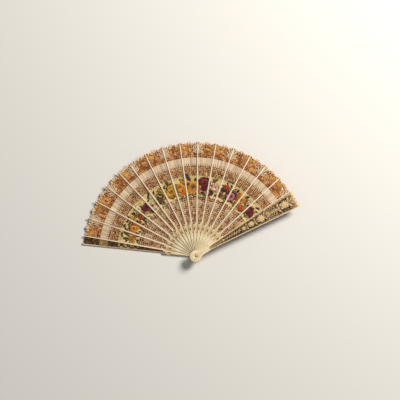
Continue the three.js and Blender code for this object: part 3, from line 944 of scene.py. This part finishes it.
class Needlework:
    """Petals, leaves and beads in the flat, each a small closed shape."""

    HIGHEST_BEAD = 0.5

    def __init__(self):
        self.shapes = []

    def petal(self, x, y, turn, length, width, rise, dyes, curl=0.35):
        """A domed petal from its root, with a dye at the root and one at the tip."""
        root, tip = dyes
        across, along = 4, 5
        flat, tints = [(0.0, 0.0, 0.0)], [root]
        for i in range(1, along):
            share = i / along
            half = width / 2 * math.sin(math.pi * share**1.25) ** 0.75
            for j in range(across + 1):
                side = 2 * j / across - 1
                dome = curl * (1 - side * side) * math.sin(math.pi * share)
                flat.append((share * length, side * half, dome))
                blend = share * (0.75 + 0.25 * abs(side))
                vein = 0.8 + 0.2 * abs(side)
                tints.append([(a + (b - a) * blend) * vein for a, b in zip(root, tip)])
        flat.append((length, 0.0, 0.0))
        tints.append(tip)
        last = len(flat) - 1
        faces = []
        for j in range(across):
            faces.append((1 + j, 2 + j, 0))
            faces.append((last - across + j, last - across - 1 + j, last))
            for i in range(along - 2):
                a = 1 + i * (across + 1) + j
                faces.append((a + across + 1, a + across + 2, a + 1, a))
        left = [1 + i * (across + 1) + across for i in range(along - 1)]
        right = [1 + i * (across + 1) for i in range(along - 1)]
        faces.append((0, *left, last, *right[::-1]))
        c, s = spot(1, turn)
        placed = [(x + a * c - b * s, y + a * s + b * c, rise + h) for a, b, h in flat]
        self.shapes.append((placed, faces, tints))

    def bead(self, x, y, rise, across, along, dye, turn=0.0):
        c, s = spot(0.5, turn)
        placed = [(x, y, rise + min(0.3 * across, self.HIGHEST_BEAD)), (x, y, rise - 0.12)]
        for a, b in ((1, 0), (0, 1), (-1, 0), (0, -1)):
            placed.append((x + a * along * c - b * across * s, y + a * along * s + b * across * c, rise))
        faces = [(0, 2 + k, 2 + (k + 1) % 4) for k in range(4)]
        faces += [(1, 2 + (k + 1) % 4, 2 + k) for k in range(4)]
        self.shapes.append((placed, faces, [dye] * 6))

    def blossom(self, x, y, size, rings):
        """Rings of petals from the outside in, listed as in BLOSSOMS, round a heart of beads."""
        heart = toned(shade(*rings[0][2]), 0.6)
        rise = 0.1
        for count, share, root, tip in rings:
            begin = rng.uniform(0, 360)
            for k in range(count):
                turn = begin + 360 / count * k + rng.uniform(-20, 20)
                light = rng.uniform(0.5, 1.25) * rng.uniform(0.92, 1.08)
                length = size / 2 * share * rng.uniform(0.66, 1.14)
                width = 7.0 * length / count * rng.uniform(0.75, 1.25)
                dyes = [toned(dye, light) for dye in shades(root, tip)]
                self.petal(x, y, turn, length, width, rise, dyes, 0.28)
            x, y = x + rng.uniform(-0.08, 0.08) * size, y + rng.uniform(-0.08, 0.08) * size
            rise += 0.13
        for k in range(7):
            c, s = spot(size * 0.06 if k else 0, 60 * k)
            self.bead(x + c, y + s, rise, size * 0.07, size * 0.07, heart)

    def on_gore(self, name, gore, material):
        """The part that falls on one gore, cut off at its edges, divided along the lines where
        the cloth bends, and laid on it."""
        mesh = bmesh.new()
        tint = mesh.verts.layers.float_color.new("tint")
        for placed, faces, tints in self.shapes:
            x, y, _ = np.mean(placed, axis=0)
            spread = max(math.hypot(a - x, b - y) for a, b, _ in placed)
            radius, angle = math.hypot(x, y), math.degrees(math.atan2(y, x))
            margin = math.degrees(spread / radius)
            if not gore.low(radius) - margin < angle < gore.high(radius) + margin:
                continue
            made = [mesh.verts.new(co) for co in placed]
            for vertex, colour in zip(made, tints):
                vertex[tint] = (*colour, 1)
            for face in faces:
                mesh.faces.new([made[k] for k in face])
        for across, keep in ((0, 1), (1, -1), (CREASE, 0), (DROP, 0)):
            turn = gore.angle(LEAF_MIDDLE, across)
            normal = Vector((-math.sin(turn), math.cos(turn), 0))
            everything = mesh.verts[:] + mesh.edges[:] + mesh.faces[:]
            cut = {"geom": everything, "plane_co": (0, 0, 0), "plane_no": normal}
            bmesh.ops.bisect_plane(mesh, **cut, clear_inner=keep > 0, clear_outer=keep < 0)
            if keep:
                bmesh.ops.holes_fill(mesh, edges=[e for e in mesh.edges if e.is_boundary], sides=0)
        mesh.verts.index_update()
        points = [gore.lay(*v.co) for v in mesh.verts]
        faces = [[v.index for v in f.verts] for f in mesh.faces]
        dyes = [[v[tint][:3] for v in f.verts] for f in mesh.faces]
        mesh.free()
        if not faces:
            return None
        piece = cloth_object(name, points, faces, dyes, material)
        for face in piece.data.polygons:
            face.use_smooth = True
        return piece


def sewn(gore, name, inner, outer, cuts, trims=(), laid=()):
    """One ring of a gore as cloth of real thickness, with its trimmings. cuts lists each stretch
    of cloth with its material, and laid the pieces that lie on the ring without being part of it."""
    pieces, area = [], 0.0
    for (points, faces, dyes), material in cuts:
        pieces.append(thickened(cloth_object(name, points, faces, dyes, material), CLOTH))
        area += flat_area(points, faces)
    pieces += [trim for trim in trims if trim]
    piece = joined(name, pieces) if len(pieces) > 1 else pieces[0]
    width = (gore.angle(outer, 1) - gore.angle(outer, 0)) * outer * MM
    additions = [addition for addition in laid if addition]
    for part in [piece, *additions]:
        follow(part, gore, inner + FOLD_MEASURED_AT * (outer - inner))


ROOT_OUT, NET_OUT, SILK_OUT, INSERT_OUT, RIBBON_OUT = 90, 117, 158, 180.5, 196
POINT_DEPTH = 4
NET_SHAKE = 0.12
KNOT = 1.5
LIGHT_NET = shades((192, 146, 100), (170, 122, 78), (152, 92, 60), (216, 180, 136))
# The dark faces that fill the nets' holes are painted shade, for the shadow seen through a hole
NET_HOLE_SHADE = shades((54, 26, 14), (96, 42, 30), (38, 18, 10))
BROWN_NET = shades((182, 134, 80), (166, 110, 60), (146, 92, 48), (200, 158, 104))
PALE_NET = shades((196, 148, 96), (174, 122, 74), (212, 172, 124))
GOLD_NET = shades((186, 124, 48), (164, 98, 32), (202, 148, 66))
BROWN_GOLD = shades((182, 122, 60), (152, 88, 38), (128, 66, 30), (204, 154, 96))
GOLD_HOLE_SHADE = shades((84, 44, 16), (110, 60, 24), (62, 32, 12))
OCHRE = shades((182, 124, 60), (154, 92, 40), (206, 154, 90), (134, 74, 30))
KNOTS = shades((242, 218, 182), (232, 200, 158))
PICOT_WHITE = shades((226, 184, 142), (246, 218, 186))
RIBBON_WHITE = shades((206, 180, 148), (190, 162, 128), (218, 196, 166))
SILK_GROUND = shades((212, 182, 118), (194, 160, 92), (224, 200, 144))
SCALLOP_CREAM = shades((238, 220, 166), (220, 194, 138))
STROKE_OLIVE = shade(158, 130, 62)


def scallop(base, height, count):
    """An edge in scallops, as a function of the place across."""
    return lambda across: base + height * abs(math.sin(math.pi * count * across))


def shifted(edge, by):
    return lambda across: edge(across) + by


points_edge = scallop(LEAF_TO, -POINT_DEPTH, 2)
silk_from, silk_to = scallop(NET_OUT, 2.5, 2), scallop(SILK_OUT, 2.5, 5)


def net_cell(light, dark, hole_shade_share=0.92, hole=0.76):
    """A net's cell of uneven dye. Its third argument is the chance that its hole is filled with a dark face
    of painted shade.
    """
    tone = rng.uniform(0.85, 1.15)
    hole_shade = toned(rng.choice(dark), tone) if rng.random() < hole_shade_share else None
    return hole * rng.uniform(0.75, 1.2), toned(rng.choice(light), tone), hole_shade


def inner_net(i, j):
    return net_cell(LIGHT_NET, NET_HOLE_SHADE)


def insertion_net(i, j):
    """Brown net, with two lighter rows next to the ribbon."""
    return net_cell(BROWN_NET, NET_HOLE_SHADE) if j < 4 else net_cell(PALE_NET, NET_HOLE_SHADE, 0.95)


def edge_net(gore_number):
    """Brown net next to the ribbon, then close ochre and gold work towards the ribs that carry
    the lilies, and towards the others an open pale net that widens outwards."""

    def draw(i, j):
        gold = (i + 0.5) / 8 if gore_number % 2 == 0 else 1 - (i + 0.5) / 8
        if j < 2:
            return net_cell(BROWN_GOLD, GOLD_HOLE_SHADE, 0.95, 0.7)
        if gold < 0.1 + 0.07 * j:
            return net_cell(PALE_NET, NET_HOLE_SHADE, 0.95, 0.8)
        if j < 6:
            return net_cell(OCHRE, GOLD_HOLE_SHADE, 0.95, 0.4)
        return net_cell(GOLD_NET, GOLD_HOLE_SHADE, 0.95, 0.6)

    return draw


def plain(palette, spread):
    """Draws close-woven cloth that varies from thread to thread, but little along a thread."""
    columns = {}

    def draw(i, j):
        if i not in columns:
            tone = rng.uniform(1 - spread, 1 + spread)
            columns[i] = toned(rng.choice(palette), tone)
        return 0, toned(columns[i], rng.uniform(0.95, 1.05)), None

    return draw


def silk_ground(i, j):
    """Painted silk with a cream hem at both edges and short strokes inside the outer one."""
    if j in (0, 13):
        return 0, toned(SCALLOP_CREAM[1], rng.uniform(0.8, 1.1)), None
    if j == 12:
        return 0, toned(SCALLOP_CREAM[1] if i % 2 else STROKE_OLIVE, rng.uniform(0.75, 1.1)), None
    return silk_threads(i, j)


def ribbon_band(i, j):
    """Cream ribbon with dark dots along its inner border: holes filled with painted shade."""
    if j == 0 and i % 3 == 0:
        return net_cell(RIBBON_WHITE, NET_HOLE_SHADE, 1.0, 0.95)
    return ribbon_threads(i, j)


def knots(gore, inner, outer, count):
    """Light knots scattered over a net."""
    work = Needlework()
    for _ in range(count):
        x, y, _ = gore.place(rng.uniform(inner, outer), rng.uniform(0.06, 0.94))
        across = KNOT * rng.uniform(0.7, 1.3)
        work.bead(x / MM, y / MM, 0.02, across, across, rng.choice(KNOTS), rng.uniform(0, 90))
    return work.on_gore("knots", gore, thread)


def chain(work, gore, edge, step, size, dyes):
    """A row of beads along an edge, such as a scallop."""
    count = round((gore.angle(LEAF_MIDDLE, 1) - gore.angle(LEAF_MIDDLE, 0)) * edge(0.5) / step)
    for k in range(count):
        across = (k + 0.5) / count
        x, y, _ = gore.place(edge(across), across)
        along = math.degrees(gore.angle(edge(across), across)) + 90
        work.bead(x / MM, y / MM, 0.05, size, size * 1.5, rng.choice(dyes), along)


# Petal rings from the outside in: how many, their share of the size, root and tip colour
BLOSSOMS = {
    "gold": [(7, 1.0, (140, 78, 14), (220, 160, 44)), (5, 0.62, (160, 90, 14), (240, 196, 84))],
    "orange": [
        (8, 1.0, (150, 56, 4), (218, 126, 20)),
        (6, 0.74, (170, 70, 6), (240, 164, 40)),
        (4, 0.46, (128, 46, 6), (248, 196, 96)),
    ],
    "crimson": [(6, 1.0, (50, 8, 12), (126, 32, 34)), (5, 0.64, (68, 10, 18), (164, 66, 60))],
    "purple": [(6, 1.0, (52, 10, 24), (118, 46, 58)), (5, 0.6, (108, 26, 42), (226, 152, 144))],
    "pink": [(6, 1.0, (180, 108, 84), (236, 194, 162)), (5, 0.6, (208, 142, 114), (246, 224, 196))],
    "white": [(6, 1.0, (166, 160, 96), (230, 216, 170))],
    "red": [(6, 1.0, (120, 32, 10), (200, 80, 32)), (4, 0.55, (150, 50, 14), (222, 120, 60))],
    "brown": [(6, 1.0, (78, 44, 20), (150, 92, 44))],
}
# Blossoms along the garland: angle, radius, diameter, kind
GARLAND = [
    (165.5, 132, 18, "gold"), (161.5, 147, 14, "brown"), (157, 136, 23, "orange"), (151.5, 127, 11, "red"),
    (150.5, 146, 17, "gold"), (145, 135, 16, "red"), (141.5, 149, 12, "white"), (136.5, 139, 25, "crimson"),
    (130.5, 129, 12, "pink"), (127.5, 145, 14, "white"), (122, 132, 13, "brown"), (119, 147, 17, "gold"),
    (112, 137, 32, "gold"), (103.5, 136, 29, "orange"), (99.5, 150, 18, "gold"), (92.5, 138, 36, "orange"),
    (83.5, 145, 26, "crimson"), (80, 128, 17, "purple"), (74, 141, 22, "pink"), (68.5, 130, 14, "brown"),
    (66, 148, 15, "red"), (60, 137, 29, "purple"), (52, 142, 26, "orange"), (47, 130, 16, "red"),
    (45, 149, 12, "pink"), (39, 138, 22, "crimson"),
]
GARLAND_RADIUS, GARLAND_HALF_WIDTH, GARLAND_FROM, GARLAND_SPAN = 137, 15, 168.5, 133
# Leaves from root to tip. Beyond DARK_LEAVES_FROM the garland's leaves come from the first four only
GREENS = [
    shades((44, 40, 14), (104, 94, 38)),
    shades((80, 62, 20), (156, 130, 56)),
    shades((24, 20, 8), (60, 48, 22)),
    shades((38, 18, 8), (98, 52, 26)),
    shades((108, 90, 36), (174, 150, 74)),
    shades((158, 122, 52), (230, 200, 124)),
]
DARK_LEAVES_FROM = 150
LEAVES, BUDS = 420, 60
BUD_DYES = shades((236, 220, 176), (210, 120, 60), (232, 196, 90), (150, 50, 50))


def garland():
    """A garland of made-up blossoms, leaves and buds along the silk band."""
    work = Needlework()
    for k in range(LEAVES):
        angle = GARLAND_FROM - GARLAND_SPAN * (k + rng.uniform(0, 1)) / LEAVES
        x, y = spot(GARLAND_RADIUS + rng.uniform(-GARLAND_HALF_WIDTH, GARLAND_HALF_WIDTH), angle)
        dyes = rng.choice(GREENS[:4] if angle > DARK_LEAVES_FROM else GREENS)
        length = rng.uniform(7, 12)
        turn = rng.uniform(0, 360)
        work.petal(x, y, turn, length, length * rng.uniform(0.38, 0.55), 0.04, dyes, curl=0.2)
    for angle, radius, size, kind in GARLAND:
        x, y = spot(radius, angle)
        work.blossom(x, y, size, BLOSSOMS[kind])
        for turn in (rng.uniform(0, 180), rng.uniform(180, 360)):
            c, s = spot(size * 0.31, turn)
            work.petal(x + c, y + s, turn, size * 0.55, size * 0.24, 0.08, rng.choice(GREENS))
    for k in range(BUDS):
        angle = GARLAND_FROM - 0.5 - (GARLAND_SPAN - 1) * (k + rng.uniform(0, 1)) / BUDS
        x, y = spot(GARLAND_RADIUS + rng.choice((-1, 1)) * rng.uniform(9, 16), angle)
        work.bead(x, y, 0.2, 2.4, 3.8, rng.choice(BUD_DYES), rng.uniform(0, 180))
    return work


# Petals of the shells, lilies and florets: turn from the rib and length
SHELL = [(-32, 19), (32, 19), (-21, 21), (21, 21), (-10, 22), (10, 22), (0, 23)]
LILY = [(-84, 8), (-56, 10), (-28, 11), (28, 11), (56, 10), (84, 8)]
LILY_FOOT = [(-50, 12), (-22, 12), (22, 12), (50, 12)]
FLORET = [(-64, 12), (-42, 17), (-22, 21), (-8, 23), (8, 23), (22, 21), (42, 17), (64, 12)]
# Petals of the edge's drops: place across, width and length
PICOTS = [(0.14, 3, 7), (0.3, 3, 7), (0.43, 3, 8), (0.5, 4, 10), (0.57, 3, 8), (0.7, 3, 7), (0.86, 3, 7)]
PICOTS_END = 229.6


def spray(work, radius, rib, petals, width, dyes, curl):
    """Petals that spread from one place on a rib."""
    x, y = spot(radius, rib)
    for turn, length in petals:
        work.petal(x, y, rib + turn, length, width(length), 0.1, dyes, curl)


def lace_shells():
    """A shell of close petals in the net at every second rib."""
    work = Needlework()
    for rib in headings[1::2]:
        spray(work, 92, rib, SHELL, steady(5.4), shades((170, 132, 92), (202, 174, 134)), 0.2)
    return work


def edge_work():
    """Gold lilies at the first rib and at every second one after it, florets at the others."""
    work = Needlework()
    for rib in headings[::2]:
        spray(work, 214, rib, LILY, lambda length: length * 0.42, shades((166, 108, 38), (218, 162, 80)), 0.3)
        spray(work, 202, rib, LILY_FOOT, steady(4.6), shades((150, 84, 40), (200, 142, 88)), 0.25)
    for rib in headings[1::2]:
        spray(work, 204, rib, FLORET, steady(2.1), shades((208, 170, 128), (248, 224, 190)), 0.25)
    return work


def picots(gore):
    """The pale drops along a gore's edge, longest at its middle."""
    work = Needlework()
    for across, width, length in PICOTS:
        x, y, _ = gore.place(min(points_edge(across) - length * 0.6, PICOTS_END - length), across)
        turn = math.degrees(gore.angle(LEAF_TO, across)) + rng.uniform(-12, 12)
        work.petal(x / MM, y / MM, turn, length, width, 0.12, PICOT_WHITE, 0.3)
    return work.on_gore("picots", gore, thread)


blooms, shells, edging = garland(), lace_shells(), edge_work()
for number, gore in enumerate(gores):
    mark = gore.node[-2:]
    cut = cells(gore, steady(LEAF_FROM), steady(ROOT_OUT), 4, 6, inner_net, NET_SHAKE)
    trims = [knots(gore, LEAF_FROM + 1, ROOT_OUT - 1, 16)]
    sewn(gore, "net_root_" + mark, LEAF_FROM, ROOT_OUT, [(cut, thread)], trims)
    cut = cells(gore, steady(ROOT_OUT + 0.05), shifted(silk_from, -0.1), 4, 7, inner_net, NET_SHAKE)
    trims = [knots(gore, ROOT_OUT + 1, NET_OUT - 1, 20)]
    shell = shells.on_gore("shell_" + mark, gore, thread)
    sewn(gore, "net_" + mark, ROOT_OUT, NET_OUT + 3, [(cut, thread)], trims, [shell])
    silk_threads = plain(SILK_GROUND, 0.1)
    cut = cells(gore, silk_from, silk_to, 20, 14, silk_ground, 0.0)
    trim = Needlework()
    chain(trim, gore, shifted(silk_from, 0.8), 2.1, 1.5, SCALLOP_CREAM)
    chain(trim, gore, shifted(silk_to, -0.8), 2.2, 1.5, SCALLOP_CREAM)
    trims = [trim.on_gore("chain", gore, thread)]
    laid = [blooms.on_gore("garland_" + mark, gore, silk)]
    sewn(gore, "silk_" + mark, NET_OUT, SILK_OUT + 3, [(cut, silk)], trims, laid)
    net = cells(gore, shifted(silk_to, 0.1), steady(INSERT_OUT), 8, 6, insertion_net, NET_SHAKE)
    ribbon_threads = plain(RIBBON_WHITE, 0.06)
    ribbon = cells(gore, steady(INSERT_OUT + 0.1), steady(RIBBON_OUT), 20, 4, ribbon_band, 0.0)
    trims = [knots(gore, SILK_OUT + 4, INSERT_OUT - 1, 26)]
    sewn(gore, "insertion_" + mark, SILK_OUT, RIBBON_OUT, [(net, thread), (ribbon, silk)], trims)
    cut = cells(gore, steady(RIBBON_OUT + 0.1), points_edge, 8, 8, edge_net(number), NET_SHAKE)
    trims = [knots(gore, RIBBON_OUT + 1, LEAF_TO - 5, 30), edging.on_gore("edging", gore, thread)]
    trims.append(picots(gore))
    sewn(gore, "edge_" + mark, RIBBON_OUT, LEAF_TO, [(cut, thread)], trims)


# End panels
# The narrow strips between the outermost ribs and the guards, each one piece of lace in colours darkened as
# painted shade.
# The leaf's colours darkened as painted shade, and dark faces of painted shade that fill the holes
END_SHADED_NET = shades((86, 52, 24), (68, 40, 18), (108, 70, 34))
END_HOLE_SHADE = shades((46, 28, 14), (58, 36, 18), (30, 20, 10))
END_CREAM = shades((196, 168, 112), (176, 146, 92))
END_TAN = shades((168, 134, 84), (150, 116, 70))
END_SLATE = shades((64, 50, 28), (44, 34, 20), (90, 66, 34), (50, 36, 18), (132, 100, 56))
END_COLUMNS, END_ROWS = 4, 46
WAVE_LENGTH = 14


def end_lace(i, j):
    """The bands of the leaf, carried on in colours darkened as painted shade."""
    radius = LEAF_FROM + (LEAF_TO - LEAF_FROM) * (j + 0.5) / END_ROWS
    if NET_OUT < radius < SILK_OUT:
        wave = abs(math.sin(math.pi * (radius - NET_OUT) / WAVE_LENGTH)) * END_COLUMNS
        if abs(i + 0.5 - wave) < 0.6:
            return net_cell(END_CREAM, END_HOLE_SHADE, 1.0, 0.3)
        return net_cell(END_SLATE, END_HOLE_SHADE, 1.0, 0.8)
    if INSERT_OUT < radius < RIBBON_OUT:
        return net_cell(END_TAN, END_HOLE_SHADE, 1.0, 0.5)
    if radius > RIBBON_OUT:
        return net_cell(END_SLATE, END_HOLE_SHADE, 1.0, 0.8)
    return net_cell(END_SHADED_NET, END_HOLE_SHADE, 0.9)


for panel in (rear_panel, front_panel):
    cut = cells(panel, steady(LEAF_FROM), steady(LEAF_TO - 1), END_COLUMNS, END_ROWS, end_lace, 0.1)
    sewn(panel, panel.node.replace("leaf", "lace"), LEAF_FROM, LEAF_TO, [(cut, thread)])
